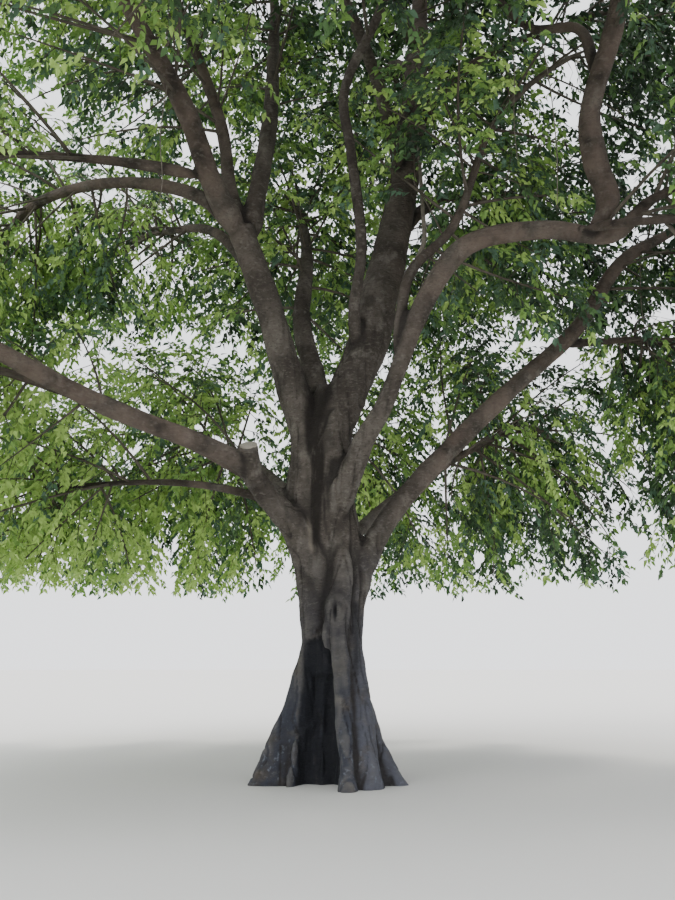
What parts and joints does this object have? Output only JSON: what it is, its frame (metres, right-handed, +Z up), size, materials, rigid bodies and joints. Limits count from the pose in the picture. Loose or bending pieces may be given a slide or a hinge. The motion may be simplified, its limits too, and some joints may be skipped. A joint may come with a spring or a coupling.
{
  "type": "weeping fig",
  "caption": "Whole broadleaf tree rooted in level ground: a flared, fluted trunk forks into arching boughs under a wide dome of drooping twigs and leaves that is open beneath.",
  "frame": {"origin": "middle of the flat cut under the trunk, at ground level", "axes": "+Z up the trunk; +X to the right and -Y towards the side that the tree is seen from"},
  "size_m": [16.9604, 16.7803, 15.0886],
  "materials": {
    "bark": "matt grey-brown bark, fairly smooth, with shallow flutes, darker streaks and rows of fine pores",
    "foliage": "glossy evergreen leaves, dark to mid green with yellow-green new growth, on thin brown twigs"
  },
  "bodies": {
    "root": {"trunk": "bark", "back_high_bough": "bark", "back_left_low_bough": "bark", "back_left_middle_bough": "bark", "back_low_bough": "bark", "back_middle_bough": "bark", "back_middle_low_bough": "bark", "back_right_low_bough": "bark", "back_right_middle_bough": "bark", "back_stem": "bark", "centre_main_stem": "bark", "centre_slender_limb": "bark", "front_left_bough": "bark", "left_back_riser": "bark", "left_front_riser": "bark", "left_low_bough": "bark", "left_main_stem": "bark", "left_middle_bough": "bark", "left_side_limb": "bark", "left_side_low_bough": "bark", "left_top_riser": "bark", "right_front_bough": "bark", "right_high_bough": "bark", "right_low_bough": "bark", "right_low_side_limb": "bark", "right_main_bough": "bark", "right_riser": "bark", "right_riser_side_limb": "bark", "right_small_limb": "bark", "top_bough": "bark", "back_high_bough_foliage": "foliage", "back_left_low_bough_foliage": "foliage", "back_left_middle_bough_foliage": "foliage", "back_low_bough_foliage": "foliage", "back_middle_bough_foliage": "foliage", "back_middle_low_bough_foliage": "foliage", "back_right_low_bough_foliage": "foliage", "back_right_middle_bough_foliage": "foliage", "back_stem_foliage": "foliage", "centre_main_stem_foliage": "foliage", "centre_slender_limb_foliage": "foliage", "front_left_bough_foliage": "foliage", "left_back_riser_foliage": "foliage", "left_front_riser_foliage": "foliage", "left_low_bough_foliage": "foliage", "left_middle_bough_foliage": "foliage", "left_side_limb_foliage": "foliage", "left_side_low_bough_foliage": "foliage", "left_top_riser_foliage": "foliage", "right_front_bough_foliage": "foliage", "right_high_bough_foliage": "foliage", "right_low_bough_foliage": "foliage", "right_low_side_limb_foliage": "foliage", "right_main_bough_foliage": "foliage", "right_riser_foliage": "foliage", "right_riser_side_limb_foliage": "foliage", "right_small_limb_foliage": "foliage", "top_bough_foliage": "foliage"}
  },
  "joints": []
}
